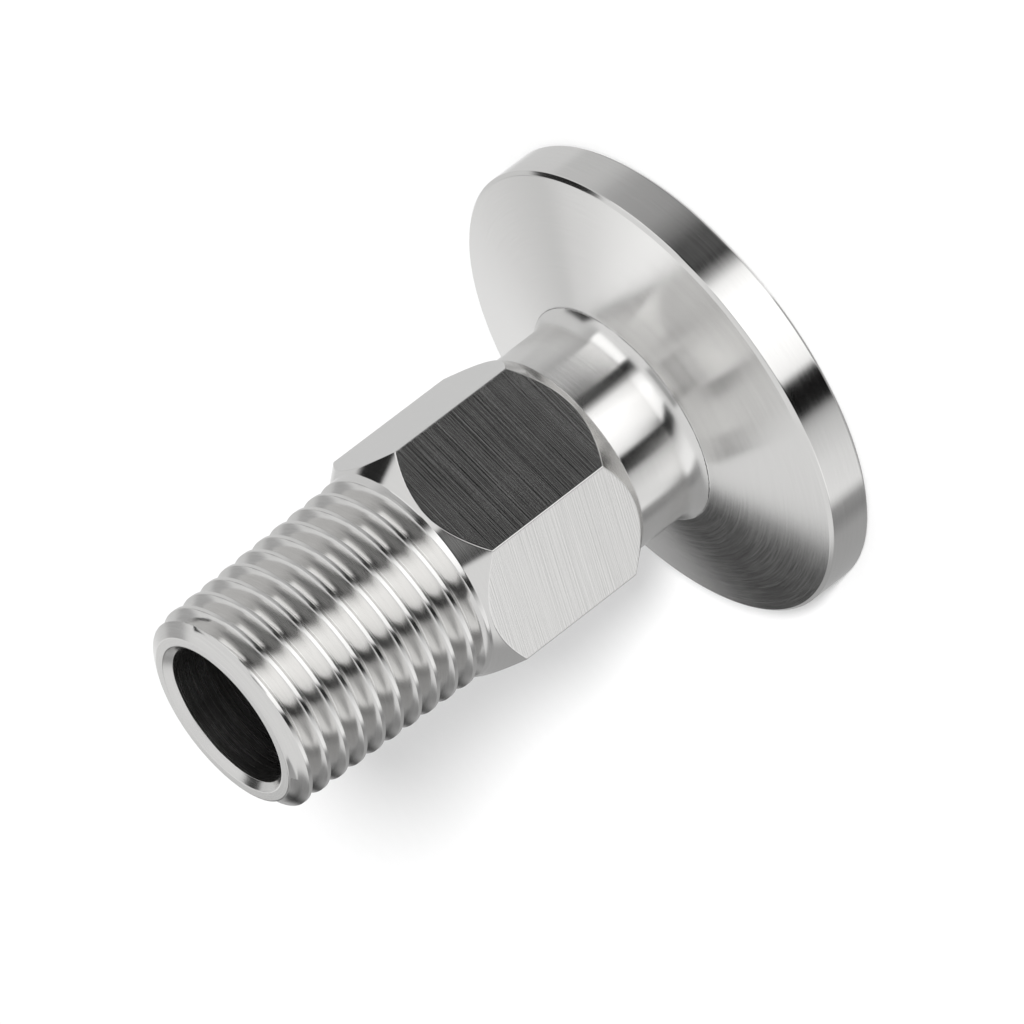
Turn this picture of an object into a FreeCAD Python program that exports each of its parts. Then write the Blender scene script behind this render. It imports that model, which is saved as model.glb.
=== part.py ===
import FreeCAD, Part
import math
import os

# Adapter from a small vacuum clamp flange to a tapered male pipe thread.
# It is turned and milled from one bar, so it is one solid.
# Lengths are in millimetres and angles in degrees.
# Z is the turning axis. The sealing face lies at z = 0 and the thread's end points up.

# Clamp flange
FLANGE_DIAMETER = 30.0
RIM_HEIGHT = 2.75
RIM_BEVEL = 0.2
SEALING_FACE_BEVEL = 0.2
CLAMP_CONE_ANGLE = 15.0
CONE_INNER_DIAMETER = 14.5

# Centring recess in the sealing face, for the carrier ring of the seal
RECESS_DIAMETER = 17.2
RECESS_DEPTH = 2.6
RECESS_BEVEL = 0.2

# Neck between the flange and the hexagon
NECK_DIAMETER = 13.4
NECK_LENGTH = 4.7
NECK_FLARE_HEIGHT = 1.4

# Hexagon for a wrench, with both of its ends turned to a cone
HEX_ACROSS_FLATS = 14.0
HEX_LENGTH = 11.7
HEX_END_CONE_ANGLE = 38.5

# Tapered pipe thread, quarter inch, with its sizes at the gauge plane
THREAD_LENGTH = 14.2
THREAD_PITCH = 25.4 / 19.0
THREAD_FLANK_ANGLE = 27.5
THREAD_CREST_WIDTH = 0.2
THREAD_ROOT_WIDTH = 0.1
THREAD_GAUGE_DIAMETER = 13.157
THREAD_GAUGE_LENGTH = 6.0
THREAD_TAPER = 1.0 / 16.0
THREAD_START_ANGLE = 21.0
RUNOUT_TURNS = 0.5
RUNOUT_FOOT_GAP = 0.15
LEAD_CHAMFER_WIDTH = 0.9
LEAD_CHAMFER_HEIGHT = 0.5

# Bore from end to end
BORE_DIAMETER = 9.0
BORE_MOUTH_CHAMFER = 0.4

# How far a cutting tool stands out of the metal that it cuts
TOOL_OVERSHOOT = 0.1

# Sizes that follow from the ones above
flange_radius = FLANGE_DIAMETER / 2
recess_radius = RECESS_DIAMETER / 2
neck_radius = NECK_DIAMETER / 2
bore_radius = BORE_DIAMETER / 2
cone_inner_radius = CONE_INNER_DIAMETER / 2
hex_corner_radius = HEX_ACROSS_FLATS / 2 / math.cos(math.radians(30))
hex_cone_slope = math.tan(math.radians(HEX_END_CONE_ANGLE))
radius_taper = THREAD_TAPER / 2
flank_slope = math.tan(math.radians(THREAD_FLANK_ANGLE))
thread_depth = (THREAD_PITCH - THREAD_CREST_WIDTH - THREAD_ROOT_WIDTH) / 2 / flank_slope

# Heights of the stations along the axis
cone_outer_z = RIM_HEIGHT + RIM_BEVEL
cone_width = flange_radius - RIM_BEVEL - cone_inner_radius
neck_z = cone_outer_z + cone_width * math.tan(math.radians(CLAMP_CONE_ANGLE))
hex_rear_z = neck_z + NECK_LENGTH
hex_front_z = hex_rear_z + HEX_LENGTH
end_z = hex_front_z + THREAD_LENGTH
lead_z = end_z - LEAD_CHAMFER_HEIGHT


def crest_radius(z):
    """Radius of the cone that the thread crests lie on, at one height."""
    gauge_z = end_z - THREAD_GAUGE_LENGTH
    return THREAD_GAUGE_DIAMETER / 2 + (gauge_z - z) * radius_taper


def point(radius, z):
    """A point of a turned outline, in the plane y = 0."""
    return FreeCAD.Vector(radius, 0, z)


def turned(outline):
    """The solid that an outline in the plane y = 0 sweeps in one turn about the axis."""
    face = Part.Face(Part.makePolygon(outline + outline[:1]))
    return face.revolve(FreeCAD.Vector(0, 0, 0), FreeCAD.Vector(0, 0, 1), 360)


def turned_blank():
    """The bar after turning, before the recess, the flats and the thread are cut."""
    rear_cone_rise = (hex_corner_radius - neck_radius) / hex_cone_slope
    front_cone_rise = (hex_corner_radius - crest_radius(hex_front_z)) / hex_cone_slope
    outline = [
        point(bore_radius, 0),
        point(flange_radius - SEALING_FACE_BEVEL, 0),
        point(flange_radius, SEALING_FACE_BEVEL),
        point(flange_radius, RIM_HEIGHT),
        point(flange_radius - RIM_BEVEL, cone_outer_z),
        point(cone_inner_radius, neck_z),
        point(neck_radius, neck_z + NECK_FLARE_HEIGHT),
        point(neck_radius, hex_rear_z),
        point(hex_corner_radius, hex_rear_z + rear_cone_rise),
        point(hex_corner_radius, hex_front_z - front_cone_rise),
        point(crest_radius(hex_front_z), hex_front_z),
        point(crest_radius(lead_z), lead_z),
        point(crest_radius(end_z) - LEAD_CHAMFER_WIDTH, end_z),
        point(bore_radius + BORE_MOUTH_CHAMFER, end_z),
        point(bore_radius, end_z - BORE_MOUTH_CHAMFER),
    ]
    return turned(outline)


def centring_recess():
    """The metal that is turned away for the shallow round recess in the sealing face."""
    outline = [
        point(0, -TOOL_OVERSHOOT),
        point(recess_radius + RECESS_BEVEL + TOOL_OVERSHOOT, -TOOL_OVERSHOOT),
        point(recess_radius, RECESS_BEVEL),
        point(recess_radius, RECESS_DEPTH),
        point(0, RECESS_DEPTH),
    ]
    return turned(outline)


def hexagon_waste():
    """The metal outside the six flats, as a ring with a hexagonal hole."""
    foot = point(0, hex_rear_z)
    ring = Part.makeCylinder(hex_corner_radius + TOOL_OVERSHOOT, HEX_LENGTH, foot)
    corners = []
    for number in range(6):
        angle = math.radians(30 + 60 * number)
        corners.append(foot + FreeCAD.Vector(math.cos(angle), math.sin(angle), 0) * hex_corner_radius)
    outline = Part.makePolygon(corners + corners[:1])
    prism = Part.Face(outline).extrude(FreeCAD.Vector(0, 0, HEX_LENGTH))
    return ring.cut(prism)


def groove_section(crest, z):
    """The outline of the space between two thread crests, a V with a narrow flat root."""
    root = crest - thread_depth
    mouth = crest + TOOL_OVERSHOOT
    root_half = THREAD_ROOT_WIDTH / 2
    mouth_half = root_half + (mouth - root) * flank_slope
    corners = [
        point(mouth, z - mouth_half),
        point(root, z - root_half),
        point(root, z + root_half),
        point(mouth, z + mouth_half),
    ]
    return Part.makePolygon(corners + corners[:1])


def groove_sweep(start_radius, turns, cone_angle):
    """The groove swept up a helix on a cone that widens upwards from z = 0."""
    height = turns * THREAD_PITCH
    helix = Part.makeHelix(THREAD_PITCH, height, start_radius, cone_angle)
    sweep = Part.BRepOffsetAPI.MakePipeShell(Part.Wire(helix.Edges))
    sweep.setBiNormalMode(FreeCAD.Vector(0, 0, 1))
    sweep.add(groove_section(start_radius, 0))
    sweep.build()
    sweep.makeSolid()
    return sweep.shape()


def thread_grooves():
    """The helical groove from above the end face to the hexagon, and its short runout there."""
    start_z = end_z + THREAD_PITCH / 2
    foot_z = hex_front_z + RUNOUT_FOOT_GAP
    runout_height = RUNOUT_TURNS * THREAD_PITCH
    full_height = start_z - foot_z - runout_height
    full_turns = full_height / THREAD_PITCH
    taper_angle = math.degrees(math.atan(radius_taper))
    runout_angle = math.degrees(math.atan((thread_depth + TOOL_OVERSHOOT) / runout_height))
    full = groove_sweep(crest_radius(start_z), full_turns, taper_angle)
    runout = groove_sweep(crest_radius(start_z - full_height), RUNOUT_TURNS, runout_angle)
    runout.rotate(FreeCAD.Vector(0, 0, 0), FreeCAD.Vector(0, 0, 1), 360 * full_turns)
    runout.translate(FreeCAD.Vector(0, 0, full_height))
    grooves = [full, runout]
    for groove in grooves:
        # Both helices widen upwards, so they are turned over to widen towards the hexagon.
        groove.rotate(FreeCAD.Vector(0, 0, 0), FreeCAD.Vector(1, 0, 0), 180)
        groove.rotate(FreeCAD.Vector(0, 0, 0), FreeCAD.Vector(0, 0, 1), THREAD_START_ANGLE)
        groove.translate(FreeCAD.Vector(0, 0, start_z))
    return grooves


def adapter_body():
    """The whole adapter: the turned blank less its recess, its flats and its thread groove."""
    body = turned_blank().cut(centring_recess()).cut(hexagon_waste())
    for groove in thread_grooves():
        body = body.cut(groove)
    return body


os.makedirs("parts", exist_ok=True)
adapter_body().exportStep("parts/adapter_body.step")
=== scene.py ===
import math
import bpy
import numpy as np
from mathutils import Matrix, Vector


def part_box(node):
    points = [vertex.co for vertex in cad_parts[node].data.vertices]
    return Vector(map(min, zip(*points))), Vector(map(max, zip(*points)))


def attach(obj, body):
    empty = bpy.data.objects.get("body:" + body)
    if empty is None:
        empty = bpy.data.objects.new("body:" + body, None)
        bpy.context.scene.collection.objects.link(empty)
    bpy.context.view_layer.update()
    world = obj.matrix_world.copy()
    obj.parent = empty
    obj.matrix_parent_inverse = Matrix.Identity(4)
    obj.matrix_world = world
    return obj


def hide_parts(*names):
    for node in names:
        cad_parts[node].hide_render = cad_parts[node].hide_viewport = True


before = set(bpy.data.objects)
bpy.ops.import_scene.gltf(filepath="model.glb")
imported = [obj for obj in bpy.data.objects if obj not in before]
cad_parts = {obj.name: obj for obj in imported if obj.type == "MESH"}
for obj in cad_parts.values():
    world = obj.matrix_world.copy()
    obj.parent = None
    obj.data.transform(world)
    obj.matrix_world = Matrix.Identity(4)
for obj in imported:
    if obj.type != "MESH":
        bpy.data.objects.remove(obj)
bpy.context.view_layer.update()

# The adapter's shape. Lengths are in millimetres and angles in degrees, and go to Blender's metres with this factor.
MM = 0.001

# Flange
RIM_HEIGHT = 2.75
RIM_BEVEL = 0.2
SEALING_FACE_BEVEL = 0.2
CLAMP_CONE_ANGLE = 15.0
RECESS_RADIUS = 8.6
RECESS_DEPTH = 2.6
RECESS_BEVEL = 0.2

# Neck and hexagon
NECK_RADIUS = 6.7
NECK_FLARE_HEIGHT = 1.4
CONE_INNER_RADIUS = 7.25
HEX_ACROSS_FLATS = 14.0
HEX_LENGTH = 11.7
HEX_END_CONE_ANGLE = 38.5

# Tapered thread
THREAD_LENGTH = 14.2
THREAD_PITCH = 25.4 / 19.0
THREAD_FLANK_ANGLE = 27.5
THREAD_GAUGE_RADIUS = 6.5785
THREAD_GAUGE_LENGTH = 6.0
THREAD_RADIUS_TAPER = 1.0 / 32.0
THREAD_START_ANGLE = 21.0
CREST_FLAT = 0.20
CREST_ROUND = 0.03
ROOT_ROUND = 0.05
RUNOUT_TURNS = 0.5
RUNOUT_FOOT_GAP = 0.15
LEAD_CHAMFER_WIDTH = 0.9
LEAD_CHAMFER_HEIGHT = 0.5

# Bore
BORE_RADIUS = 4.5
BORE_MOUTH_CHAMFER = 0.4

# Small roundings that the tools leave on the edges
EDGE_ROUND = 0.05
HEX_CORNER_ROUND = 0.10
HEX_CURVE_ROUND = 0.10
NECK_FLARE_ROUND = 1.8
NECK_TOP_ROUND = 0.12
THREAD_FOOT_ROUND = 0.05

# Mesh density
EVEN_COLUMNS = 288
CORNER_COLUMN_OFFSETS = (-0.75, -0.42, -0.2, 0.2, 0.42, 0.75)
ARC_STEPS = 3
FLARE_STEPS = 8
SUPPORT_GAP = 0.06
ROOT_ARC_SHARES = (0, 0.5, 1.0)
CREST_ARC_SHARES = (0, 0.4, 0.8, 1.0)
# The rows along the helix stop this far from the hexagon and from the end face.
THREAD_MESH_FOOT_GAP = 0.12
THREAD_MESH_END_GAP = 0.2
# Mesh points that are the same after rounding to this length are merged.
MERGE_STEP = 1e-5

# Stations along the axis, from the frame and the lengths above
_, high_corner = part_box("adapter_body")
flange_radius = high_corner.x / MM
end_z = high_corner.z / MM
hex_front_z = end_z - THREAD_LENGTH
hex_rear_z = hex_front_z - HEX_LENGTH
cone_outer_z = RIM_HEIGHT + RIM_BEVEL
cone_slope = math.tan(math.radians(CLAMP_CONE_ANGLE))
neck_z = cone_outer_z + (flange_radius - RIM_BEVEL - CONE_INNER_RADIUS) * cone_slope
flare_width = CONE_INNER_RADIUS - NECK_RADIUS
flare_bend_z = neck_z + (NECK_FLARE_HEIGHT**2 - flare_width**2) / (2 * NECK_FLARE_HEIGHT)

# Red, green and blue of the steel, as shares of its tone
STEEL_TINT = (1.0, 0.993, 0.98)
# Share of the tool's lines in tone and roughness. The rest is soft clouds.
LINE_SHARE = 0.75
CLOUD_SCALE = 350.0
# The noise between these two values goes from the darkest tone to the lightest.
NOISE_LOW = 0.3
NOISE_HIGH = 0.7
# A quarter turn lays the stretch of a highlight across the tool's lines.
ACROSS_LINES = 0.25

# Camera, fitted to the photograph. Its place, its aim and its lens are in millimetres, and its clipping in metres.
CAMERA_PLACE = Vector((-362.057, -329.705, 226.216))
CAMERA_AIM = Vector((-0.428, 0.486, 14.027))
CAMERA_RIGHT = Vector((-0.64314, 0.23630, -0.72838))
CAMERA_LENS = 333.1
SENSOR_WIDTH = 36.0
CAMERA_CLIP_START = 0.01
CAMERA_AZIMUTH = math.degrees(math.atan2(CAMERA_PLACE.y, CAMERA_PLACE.x))

# Studio: what the metal mirrors, as brightness by azimuth from the camera
STUDIO_RING = (
    (-180, 0.48), (-160, 0.40), (-118, 0.38), (-108, 0.26), (-100, 0.32), (-92, 1.08), (-74, 1.00), (-60, 0.75),
    (-52, 0.42), (-48, 0.01), (-33, 0.0), (-30, 1.12), (-10, 1.35), (6, 1.45), (19, 1.10), (24, 0.40), (29, 0.0),
    (43, 0.0), (50, 0.20), (60, 0.42), (80, 0.50), (100, 0.70), (145, 0.67), (160, 0.66), (180, 1.00),
)
# The fields on the left lean away from the camera as they rise, by this share of their height.
STUDIO_LEAN = 0.38
STUDIO_LEAN_START = -22
# A card with this half width goes right round.
ALL_ROUND = 180
# Cards: azimuth from the camera, half width, elevation, half height, softness, brightness.
# A later card covers an earlier one.
STUDIO_CARDS = (
    # Low on both sides, for the thread's flanks
    (-77, 19, -57, 31, 4, 0.50),
    (60, 30, -57, 31, 4, 0.22),
    (105, 18, -57, 31, 4, 0.38),
    # Level on the right, for the bright crescents on the thread
    (58, 20, 3.5, 18, 2, 1.30),
    # Overhead
    (180, ALL_ROUND, 66, 42, 6, 0.80),
    # Behind and on the right, for the clamp cone's sides and the thread's outer edges
    (-153, 14, 26, 10, 5, 0.26),
    (150, 10, 28, 9, 4, 0.42),
    (-167, 9, 16, 16, 6, 0.04),
    (115, 16, 28, 12, 3, 0.02),
    # In front, for the dark beside the neck, and behind, for the bright streak on the cone
    (-4, 26, 50, 6, 4, 0.03),
    (172, 9, 49, 7, 4, 1.35),
)

# Floor, in metres. The patch is what the metal mirrors of it, set in from the flange's edge by millimetres.
FLOOR_REACH = 2.0
FLOOR_TONES = (0.89, 0.91)
FLOOR_GRAIN_SCALE = 900.0
FLOOR_ROUGHNESS = 0.9
FLOOR_SPECULAR = 0.1
PATCH_INSET = 1
PATCH_SINK = 0.01
PATCH_CORNERS = 48

# Lamp, in degrees, metres and watts
KEY_AZIMUTH = CAMERA_AZIMUTH + 5
KEY_ELEVATION = 25
KEY_DISTANCE = 3.0
KEY_SIZE = 0.35
KEY_POWER = 110.0


def crest_radius(z):
    """Radius of the cone that the thread crests lie on."""
    return THREAD_GAUGE_RADIUS + (end_z - THREAD_GAUGE_LENGTH - z) * THREAD_RADIUS_TAPER


def lead_chamfer_radius(z):
    """Radius of the cone that takes the corner off the thread's end."""
    width = crest_radius(end_z - LEAD_CHAMFER_HEIGHT) - crest_radius(end_z) + LEAD_CHAMFER_WIDTH
    return crest_radius(end_z) - LEAD_CHAMFER_WIDTH + (end_z - z) / LEAD_CHAMFER_HEIGHT * width


def column_angles():
    """Angles of the mesh columns, with the first again at 360: an even ring, with more by the hexagon's corners."""
    angles = set(np.arange(EVEN_COLUMNS) * 360.0 / EVEN_COLUMNS)
    for corner in range(6):
        angles.update(30.0 + 60.0 * corner + offset for offset in CORNER_COLUMN_OFFSETS)
    return np.radians(np.array(sorted(angles) + [360.0]))


def hexagon_radius(angles):
    """Distance of the hexagon's side from the axis, with its six corners rounded."""
    apothem = HEX_ACROSS_FLATS / 2
    from_flat = np.abs((angles + math.pi / 6) % (math.pi / 3) - math.pi / 6)
    flat = apothem / np.cos(from_flat)
    centre = (apothem - HEX_CORNER_ROUND) / math.cos(math.pi / 6)
    from_corner = math.pi / 6 - from_flat
    reach = np.maximum(HEX_CORNER_ROUND**2 - (centre * np.sin(from_corner))**2, 0)
    rounded = centre * np.cos(from_corner) + np.sqrt(reach)
    tangent = math.atan((apothem - HEX_CORNER_ROUND) * math.tan(math.pi / 6) / apothem)
    return np.where(from_flat > tangent, rounded, flat)


def row_of_points(radius, z, angles):
    """One row of the outline: radius and height for every column."""
    return np.stack([np.broadcast_to(radius, angles.shape), np.broadcast_to(z, angles.shape)], -1)


def rounded_path(corners, angles):
    """Rows of a path with each inner corner rounded, and the zone after each row.

    A corner is (radius, height, rounding, zone of the stretch after it). Its radius and height may change from
    column to column. Short supporting rows beside each arc keep the faces between the arcs evenly shaded.
    """
    points = [row_of_points(radius, z, angles) for radius, z, _, _ in corners]
    rows, zones = [], []
    for index in range(1, len(corners) - 1):
        size, zone = corners[index][2:]
        zone_before = corners[index - 1][3]
        before, here, after = points[index - 1], points[index], points[index + 1]
        back = before - here
        ahead = after - here
        back = back / np.linalg.norm(back, axis=-1, keepdims=True)
        ahead = ahead / np.linalg.norm(ahead, axis=-1, keepdims=True)
        half = np.arccos(np.clip((back * ahead).sum(-1, keepdims=True), -1, 1)) / 2
        cut = size / np.tan(half)
        middle = (back + ahead) / np.linalg.norm(back + ahead, axis=-1, keepdims=True)
        centre = here + middle * size / np.sin(half)
        start = here + back * cut - centre
        stop = here + ahead * cut - centre
        turn = math.pi - 2 * half
        steps = FLARE_STEPS if size == NECK_FLARE_ROUND else ARC_STEPS
        rows.append(here + back * (cut + SUPPORT_GAP))
        zones.append(zone_before)
        for step in range(steps + 1):
            share = step / steps
            weight_start = np.sin((1 - share) * turn) / np.sin(turn)
            weight_stop = np.sin(share * turn) / np.sin(turn)
            rows.append(centre + start * weight_start + stop * weight_stop)
            zones.append(zone_before if step < steps else zone)
        rows.append(here + ahead * (cut + SUPPORT_GAP))
        zones.append(zone)
    return rows, zones


def groove_height(offset):
    """Height of the groove's surface above its root, at a distance along the axis from the groove's middle.

    Straight flanks run from a nearly sharp root to the broken edge of a narrow flat crest.
    """
    steep = math.radians(90 - THREAD_FLANK_ANGLE)
    flat_start = (THREAD_PITCH - CREST_FLAT) / 2
    root_reach = ROOT_ROUND * math.sin(steep)
    crest_reach = CREST_ROUND * math.sin(steep)
    root = ROOT_ROUND - np.sqrt(ROOT_ROUND**2 - np.minimum(offset, root_reach)**2)
    flank = np.clip(offset - root_reach, 0, flat_start - crest_reach - root_reach) * math.tan(steep)
    from_crest = np.clip(flat_start - offset, 0, crest_reach)
    crest = np.sqrt(CREST_ROUND**2 - from_crest**2) - CREST_ROUND * math.cos(steep)
    return root + flank + crest


def thread_radius(z, angles):
    """Radius of the threaded surface, with the runout by the hexagon and the chamfer at the end."""
    turn = (angles - math.radians(THREAD_START_ANGLE)) / (2 * math.pi)
    phase = (z - end_z) / THREAD_PITCH - 0.5 - turn
    centre_z = z - (phase - np.round(phase)) * THREAD_PITCH
    foot_z = hex_front_z + RUNOUT_FOOT_GAP
    depth = groove_height(THREAD_PITCH / 2) * np.clip((centre_z - foot_z) / (RUNOUT_TURNS * THREAD_PITCH), 0, 1)
    sunk = np.maximum(depth - groove_height(np.abs(z - centre_z)), 0)
    return np.minimum(crest_radius(z) - sunk, lead_chamfer_radius(z))


def profile_steps():
    """Places of the mesh rows in one pitch, from one groove's middle to the next, as shares of the pitch."""
    sine = math.cos(math.radians(THREAD_FLANK_ANGLE))
    root_reach = ROOT_ROUND * sine
    crest_start = (THREAD_PITCH - CREST_FLAT) / 2 - CREST_ROUND * sine
    half = [root_reach * share for share in ROOT_ARC_SHARES]
    half += [(root_reach + crest_start) / 2]
    half += [crest_start + CREST_ROUND * sine * share for share in CREST_ARC_SHARES]
    whole = half + [THREAD_PITCH - place for place in reversed(half[1:])]
    return np.array(whole) / THREAD_PITCH


def thread_rows(angles, start_z, stop_z):
    """Rows that follow the helix, held between two heights."""
    turn_share = (angles - math.radians(THREAD_START_ANGLE)) / (2 * math.pi)
    # Some turns more than the length holds, because each row rises by a pitch and the ends hold what lies past them
    turns = int((stop_z - start_z) / THREAD_PITCH) + 3
    first = end_z + THREAD_PITCH * (0.5 - turns)
    rows = []
    for turn in range(-1, turns):
        for step in profile_steps():
            z = np.clip(first + THREAD_PITCH * (turn + step + turn_share), start_z, stop_z)
            rows.append(np.stack([thread_radius(z, angles), z], -1))
    return rows


def body_rows(angles):
    """All rows of the closed outline, and the zone of the surface that follows each of them."""
    hexagon = hexagon_radius(angles)
    cone_rise = 1 / math.tan(math.radians(HEX_END_CONE_ANGLE))
    rear_z = hex_rear_z + (hexagon - NECK_RADIUS) * cone_rise
    front_z = hex_front_z - (hexagon - crest_radius(hex_front_z)) * cone_rise
    middle = (BORE_RADIUS, end_z / 2, 0, "bore")
    thread_start = hex_front_z + THREAD_MESH_FOOT_GAP
    thread_stop = end_z - THREAD_MESH_END_GAP
    lower = [
        middle,
        (BORE_RADIUS, RECESS_DEPTH, EDGE_ROUND, "recess"),
        (RECESS_RADIUS, RECESS_DEPTH, EDGE_ROUND, "recess"),
        (RECESS_RADIUS, RECESS_BEVEL, EDGE_ROUND, "recess"),
        (RECESS_RADIUS + RECESS_BEVEL, 0, EDGE_ROUND, "face"),
        (flange_radius - SEALING_FACE_BEVEL, 0, EDGE_ROUND, "rim"),
        (flange_radius, SEALING_FACE_BEVEL, EDGE_ROUND, "rim"),
        (flange_radius, RIM_HEIGHT, EDGE_ROUND, "rim"),
        (flange_radius - RIM_BEVEL, cone_outer_z, EDGE_ROUND, "cone"),
        (CONE_INNER_RADIUS, neck_z, EDGE_ROUND, "neck"),
        (NECK_RADIUS, flare_bend_z, NECK_FLARE_ROUND, "neck"),
        (NECK_RADIUS, hex_rear_z, NECK_TOP_ROUND, "hex_end"),
        (hexagon, rear_z, HEX_CURVE_ROUND, "flat"),
        (hexagon, front_z, HEX_CURVE_ROUND, "hex_end"),
        (crest_radius(hex_front_z), hex_front_z, THREAD_FOOT_ROUND, "thread"),
        (crest_radius(thread_start), thread_start, 0, "thread"),
    ]
    upper = [
        (lead_chamfer_radius(thread_stop), thread_stop, 0, "thread"),
        (lead_chamfer_radius(end_z), end_z, EDGE_ROUND, "end"),
        (BORE_RADIUS + BORE_MOUTH_CHAMFER, end_z, EDGE_ROUND, "end"),
        (BORE_RADIUS, end_z - BORE_MOUTH_CHAMFER, EDGE_ROUND, "bore"),
        middle,
    ]
    rows, zones = rounded_path(lower, angles)
    helix_rows = thread_rows(angles, thread_start, thread_stop)
    rows += helix_rows
    zones += ["thread"] * len(helix_rows)
    upper_rows, upper_zones = rounded_path(upper, angles)
    return rows + upper_rows, zones + upper_zones


def joined_faces(numbers, zones, zone_numbers):
    """Faces of the closed grid, without the doubled corners that merging leaves, and each one's zone number."""
    faces, marks = [], []
    row_count, column_count = numbers.shape
    for row in range(row_count):
        below = numbers[row]
        above = numbers[(row + 1) % row_count]
        for column in range(column_count - 1):
            corners = (below[column], below[column + 1], above[column + 1], above[column])
            loop = [corner for index, corner in enumerate(corners) if corner != corners[index - 1]]
            if len(set(loop)) == len(loop) and len(loop) > 2:
                faces.append(loop)
                marks.append(zone_numbers[zones[row]])
    return faces, marks


def body_mesh(angles, zone_numbers):
    """The body as one closed mesh."""
    rows, zones = body_rows(angles)
    radius, z = np.moveaxis(np.stack(rows), -1, 0)
    places = np.stack([radius * np.cos(angles), radius * np.sin(angles), z], -1).reshape(-1, 3)
    keys = np.round(places / MERGE_STEP).astype(np.int64)
    _, first, numbers = np.unique(keys, axis=0, return_index=True, return_inverse=True)
    faces, marks = joined_faces(numbers.reshape(radius.shape), zones, zone_numbers)
    mesh = bpy.data.meshes.new("adapter_shell")
    mesh.from_pydata((places[first] * MM).tolist(), [], faces)
    mesh.polygons.foreach_set("material_index", marks)
    mesh.polygons.foreach_set("use_smooth", [True] * len(faces))
    mesh.update()
    return mesh


def add_node(tree, kind, inputs=(), **settings):
    """A new node with its settings made and its inputs set or linked."""
    node = tree.nodes.new(kind)
    for name, value in settings.items():
        setattr(node, name, value)
    for key, value in dict(inputs).items():
        if isinstance(value, bpy.types.NodeSocket):
            tree.links.new(value, node.inputs[key])
        else:
            node.inputs[key].default_value = value
    return node


def add_math(tree, operation, *values):
    """The output of a new Math node."""
    return add_node(tree, "ShaderNodeMath", dict(enumerate(values)), operation=operation).outputs[0]


def add_range(tree, value, low, high):
    """A value between 0 and 1, carried over to the range from low to high."""
    inputs = {"Value": value, "To Min": low, "To Max": high}
    return add_node(tree, "ShaderNodeMapRange", inputs).outputs[0]


def tool_lines(tree, path, spacing, drift):
    """Noise drawn out along the tool's path, and soft clouds.

    The lines run round the axis on turned metal, and level on milled metal.
    """
    place = add_node(tree, "ShaderNodeTexCoord").outputs["Object"]
    split = add_node(tree, "ShaderNodeSeparateXYZ", {0: place})
    x, y, z = (add_math(tree, "DIVIDE", split.outputs[axis], MM) for axis in "XYZ")
    height = add_math(tree, "DIVIDE", z, spacing)
    if path == "turned":
        squares = add_math(tree, "MULTIPLY", x, x), add_math(tree, "MULTIPLY", y, y)
        radius = add_math(tree, "SQRT", add_math(tree, "ADD", *squares))
        along = add_math(tree, "MULTIPLY", add_math(tree, "ADD", x, y), drift)
        parts = add_math(tree, "DIVIDE", radius, spacing), height, along
    else:
        parts = add_math(tree, "MULTIPLY", x, drift), add_math(tree, "MULTIPLY", y, drift), height
    drawn_out = add_node(tree, "ShaderNodeCombineXYZ", enumerate(parts)).outputs[0]
    fine = add_node(tree, "ShaderNodeTexNoise", {"Vector": drawn_out, "Scale": 1.0, "Detail": 3.0, "Roughness": 0.65})
    clouds = add_node(tree, "ShaderNodeTexNoise", {"Vector": place, "Scale": CLOUD_SCALE, "Detail": 2.0})
    return fine.outputs["Fac"], clouds.outputs["Fac"]


def steel(name, path, spacing, drift, depth, tone, tone_spread, roughness, roughness_spread, anisotropy):
    """Stainless steel with the lines that its tool left. Spacing and depth are in millimetres."""
    material = bpy.data.materials.new(name)
    material.use_nodes = True
    tree = material.node_tree
    shader = tree.nodes["Principled BSDF"]
    fine, clouds = tool_lines(tree, path, spacing, drift)
    both = add_math(tree, "ADD", add_math(tree, "MULTIPLY", fine, LINE_SHARE),
                    add_math(tree, "MULTIPLY", clouds, 1 - LINE_SHARE))
    limits = {"Value": both, "From Min": NOISE_LOW, "From Max": NOISE_HIGH}
    contrast = add_node(tree, "ShaderNodeMapRange", limits).outputs[0]
    colour = add_node(tree, "ShaderNodeMix", {"Factor": contrast}, data_type="RGBA")
    for socket, level in (("A", tone - tone_spread), ("B", tone + tone_spread)):
        colour.inputs[socket].default_value = [level * share for share in STEEL_TINT] + [1]
    tree.links.new(colour.outputs["Result"], shader.inputs["Base Color"])
    uneven = add_range(tree, contrast, roughness - roughness_spread, roughness + roughness_spread)
    tree.links.new(uneven, shader.inputs["Roughness"])
    bump = add_node(tree, "ShaderNodeBump", {"Height": fine, "Strength": 1.0, "Distance": depth * MM})
    tree.links.new(bump.outputs[0], shader.inputs["Normal"])
    round_axis = add_node(tree, "ShaderNodeTangent", direction_type="RADIAL", axis="Z")
    tree.links.new(round_axis.outputs[0], shader.inputs["Tangent"])
    shader.inputs["Metallic"].default_value = 1
    shader.inputs["Anisotropic"].default_value = anisotropy
    shader.inputs["Anisotropic Rotation"].default_value = ACROSS_LINES
    return material


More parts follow.
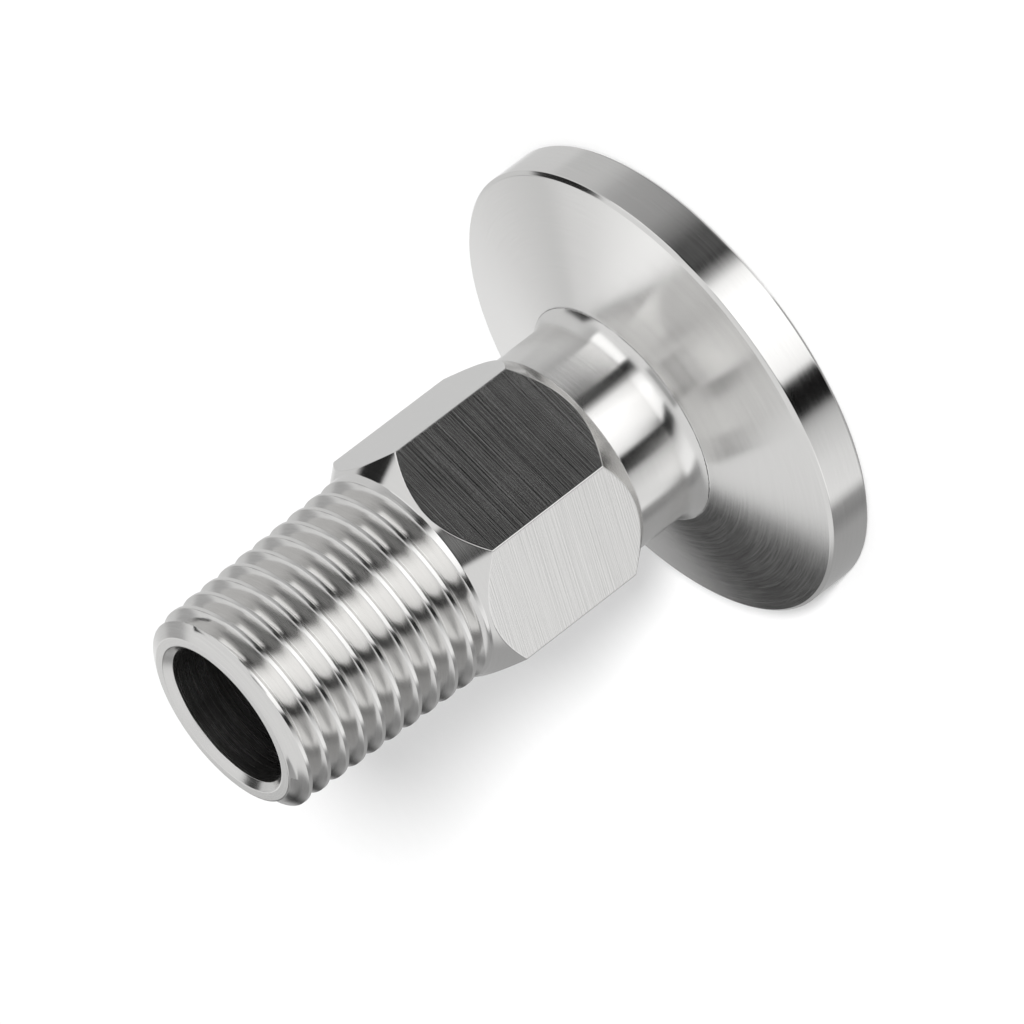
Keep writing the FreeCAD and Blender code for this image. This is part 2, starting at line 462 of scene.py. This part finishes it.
def add_body():
    """The adapter's shell, with a finish on each zone, in the place of the CAD node."""
    finishes = {
        "polished": steel("polished_steel", "turned", spacing=0.07, drift=0.25, depth=0.0006, tone=0.80,
                          tone_spread=0.015, roughness=0.10, roughness_spread=0.02, anisotropy=0.3),
        "rim": steel("rim_steel", "turned", spacing=0.09, drift=0.25, depth=0.0010, tone=0.80,
                     tone_spread=0.02, roughness=0.13, roughness_spread=0.03, anisotropy=0.4),
        "neck": steel("neck_steel", "turned", spacing=0.08, drift=0.25, depth=0.0010, tone=0.80,
                      tone_spread=0.02, roughness=0.18, roughness_spread=0.03, anisotropy=0.95),
        "faced": steel("faced_steel", "turned", spacing=0.09, drift=0.25, depth=0.0012, tone=0.80,
                       tone_spread=0.03, roughness=0.19, roughness_spread=0.04, anisotropy=0.95),
        "turned": steel("turned_steel", "turned", spacing=0.09, drift=0.25, depth=0.0012, tone=0.78,
                        tone_spread=0.02, roughness=0.20, roughness_spread=0.04, anisotropy=0.5),
        "milled": steel("milled_steel", "milled", spacing=0.09, drift=0.03, depth=0.010, tone=0.74,
                        tone_spread=0.015, roughness=0.14, roughness_spread=0.08, anisotropy=0.7),
        "thread": steel("threaded_steel", "turned", spacing=0.08, drift=0.25, depth=0.0010, tone=0.78,
                        tone_spread=0.03, roughness=0.17, roughness_spread=0.04, anisotropy=0.4),
        # The bore's steel gets a far darker tone than the rest of the steel: painted shade for the deep hole.
        "bore": steel("bored_steel_painted_shade", "turned", spacing=0.12, drift=0.3, depth=0.006, tone=0.45,
                      tone_spread=0.05, roughness=0.25, roughness_spread=0.06, anisotropy=0.4),
    }
    zone_finish = {
        "bore": "bore", "recess": "turned", "face": "turned", "rim": "rim", "cone": "faced", "neck": "neck",
        "hex_end": "polished", "flat": "milled", "thread": "thread", "end": "turned",
    }
    order = list(finishes)
    zone_numbers = {zone: order.index(finish) for zone, finish in zone_finish.items()}
    body = bpy.data.objects.new("adapter_shell", body_mesh(column_angles(), zone_numbers))
    bpy.context.scene.collection.objects.link(body)
    for finish in finishes.values():
        body.data.materials.append(finish)
    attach(body, "root")
    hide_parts("adapter_body")


def add_camera():
    """The photograph's view: the axis runs from the lower left of the picture to the upper right."""
    data = bpy.data.cameras.new("camera")
    data.lens = CAMERA_LENS
    data.sensor_width = SENSOR_WIDTH
    data.clip_start = CAMERA_CLIP_START
    camera = bpy.data.objects.new("camera", data)
    bpy.context.scene.collection.objects.link(camera)
    forward = (CAMERA_AIM - CAMERA_PLACE).normalized()
    up = CAMERA_RIGHT.cross(forward).normalized()
    right = forward.cross(up)
    turn = Matrix((right, up, -forward)).transposed()
    camera.matrix_world = Matrix.Translation(CAMERA_PLACE * MM) @ turn.to_4x4()
    bpy.context.scene.camera = camera


def add_ring(tree, azimuth, elevation):
    """Brightness of the studio's ring in a direction. Its left half leans as it rises."""
    raised = add_math(tree, "SUBTRACT", elevation, math.radians(STUDIO_LEAN_START))
    on_left = add_math(tree, "LESS_THAN", azimuth, 0.0)
    lean = add_math(tree, "MULTIPLY", add_math(tree, "MULTIPLY", raised, STUDIO_LEAN), on_left)
    leaned = add_math(tree, "MAXIMUM", add_math(tree, "SUBTRACT", azimuth, lean), -math.pi)
    ring = add_node(tree, "ShaderNodeValToRGB", {0: add_math(tree, "MULTIPLY_ADD", leaned, 0.5 / math.pi, 0.5)})
    stops = ring.color_ramp.elements
    # A new ramp has two stops. The first is used for the ring's first entry, and the other goes.
    stops.remove(stops[1])
    for index, (degrees, brightness) in enumerate(STUDIO_RING):
        position = degrees / 360 + 0.5
        stop = stops[0] if index == 0 else stops.new(position)
        stop.position = position
        stop.color = (brightness, brightness, brightness, 1)
    return ring.outputs[0]


def within(tree, value, middle, reach, soft):
    """1 where an angle lies less than the reach from the middle, 0 beyond, with a soft change between."""
    away = add_math(tree, "SUBTRACT", value, math.radians(middle))
    wrapped = add_math(tree, "WRAP", away, math.pi, -math.pi)
    inputs = {
        "Value": add_math(tree, "ABSOLUTE", wrapped),
        "From Min": math.radians(reach + soft),
        "From Max": math.radians(reach - soft),
    }
    return add_node(tree, "ShaderNodeMapRange", inputs, interpolation_type="SMOOTHSTEP").outputs[0]


def add_world():
    """White for the camera, and fields of light and dark for all that the metal mirrors."""
    world = bpy.data.worlds.new("studio")
    bpy.context.scene.world = world
    world.use_nodes = True
    tree = world.node_tree
    tree.nodes.clear()
    place = add_node(tree, "ShaderNodeTexCoord").outputs["Generated"]
    split = add_node(tree, "ShaderNodeSeparateXYZ", {0: place})
    azimuth = add_math(tree, "ARCTAN2", split.outputs["Y"], split.outputs["X"])
    azimuth = add_math(tree, "SUBTRACT", azimuth, math.radians(CAMERA_AZIMUTH))
    azimuth = add_math(tree, "WRAP", azimuth, math.pi, -math.pi)
    elevation = add_math(tree, "ARCSINE", split.outputs["Z"])
    level = add_ring(tree, azimuth, elevation)
    for middle, half_width, height, half_height, soft, brightness in STUDIO_CARDS:
        share = within(tree, elevation, height, half_height, soft)
        if half_width < ALL_ROUND:
            share = add_math(tree, "MULTIPLY", within(tree, azimuth, middle, half_width, soft), share)
        kept = add_math(tree, "MULTIPLY", level, add_math(tree, "SUBTRACT", 1.0, share))
        level = add_math(tree, "ADD", kept, add_math(tree, "MULTIPLY", share, brightness))
    pattern = add_node(tree, "ShaderNodeBackground", {"Color": level})
    white = add_node(tree, "ShaderNodeBackground", {"Color": (1, 1, 1, 1)})
    seen = add_node(tree, "ShaderNodeLightPath").outputs["Is Camera Ray"]
    mix = add_node(tree, "ShaderNodeMixShader", {0: seen, 1: pattern.outputs[0], 2: white.outputs[0]})
    add_node(tree, "ShaderNodeOutputWorld", {"Surface": mix.outputs[0]})


def stage_sheet(name, corners, material):
    """A flat sheet of the stage at floor level."""
    mesh = bpy.data.meshes.new(name)
    mesh.from_pydata(corners, [], [tuple(range(len(corners)))])
    mesh.materials.append(material)
    sheet = bpy.data.objects.new(name, mesh)
    bpy.context.scene.collection.objects.link(sheet)
    return sheet


def add_floor():
    """A large pale floor. The metal mirrors only the patch under the flange, which closes the bore's lower end."""
    material = bpy.data.materials.new("floor_white")
    material.use_nodes = True
    tree = material.node_tree
    shader = tree.nodes["Principled BSDF"]
    place = add_node(tree, "ShaderNodeTexCoord").outputs["Object"]
    grain = add_node(tree, "ShaderNodeTexNoise", {"Vector": place, "Scale": FLOOR_GRAIN_SCALE, "Detail": 3.0})
    tree.links.new(add_range(tree, grain.outputs["Fac"], *FLOOR_TONES), shader.inputs["Base Color"])
    shader.inputs["Roughness"].default_value = FLOOR_ROUGHNESS
    shader.inputs["Specular IOR Level"].default_value = FLOOR_SPECULAR
    signs = ((-1, -1), (1, -1), (1, 1), (-1, 1))
    square = [(FLOOR_REACH * x, FLOOR_REACH * y, 0) for x, y in signs]
    stage_sheet("floor", square, material).visible_glossy = False
    patch_radius = (flange_radius - PATCH_INSET) * MM
    ring = [(patch_radius * math.cos(turn), patch_radius * math.sin(turn), -PATCH_SINK * MM)
            for turn in np.linspace(0, 2 * math.pi, PATCH_CORNERS, endpoint=False)]
    stage_sheet("floor_under_flange", ring, material)


def add_key_light():
    """One large soft lamp from the picture's upper left, for the shadow on the floor."""
    data = bpy.data.lights.new("key", "AREA")
    data.shape = "DISK"
    data.size = KEY_SIZE
    data.energy = KEY_POWER
    lamp = bpy.data.objects.new("key", data)
    bpy.context.scene.collection.objects.link(lamp)
    azimuth, elevation = math.radians(KEY_AZIMUTH), math.radians(KEY_ELEVATION)
    level = math.cos(elevation)
    direction = Vector((level * math.cos(azimuth), level * math.sin(azimuth), math.sin(elevation)))
    lamp.location = direction * KEY_DISTANCE
    lamp.rotation_euler = direction.to_track_quat("Z", "Y").to_euler()
    lamp.visible_glossy = False


add_body()
add_camera()
add_world()
add_floor()
add_key_light()
bpy.context.scene.view_settings.view_transform = "Standard"
